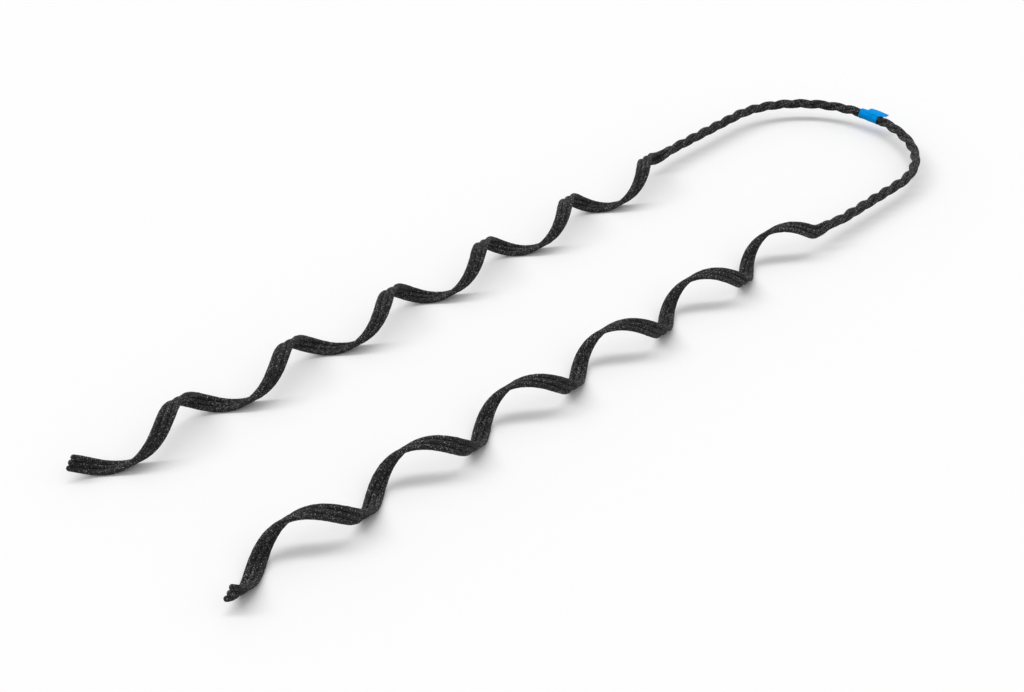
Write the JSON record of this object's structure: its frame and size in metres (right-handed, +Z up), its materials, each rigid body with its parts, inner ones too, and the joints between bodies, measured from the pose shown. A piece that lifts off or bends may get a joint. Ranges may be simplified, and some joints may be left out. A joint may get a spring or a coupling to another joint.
{
  "type": "preformed dead end grip",
  "caption": "Preformed dead end grip: three coated wires formed as two open helical legs joined by a twisted rope eye, with a band of marker tape at the crown.",
  "frame": {"origin": "middle of the grip's footprint, on the surface that the legs lie on", "axes": "+X along the legs towards the eye, +Y across from the near leg to the far leg, +Z up from the surface"},
  "size_m": [0.511, 0.118, 0.0177],
  "materials": {
    "coated_wire": "matt black coating with fine grit",
    "marker_tape": "satin adhesive tape"
  },
  "bodies": {
    "root": {"rod_1": "coated_wire", "rod_2": "coated_wire", "rod_3": "coated_wire", "marker_tape": "marker_tape"}
  },
  "joints": []
}
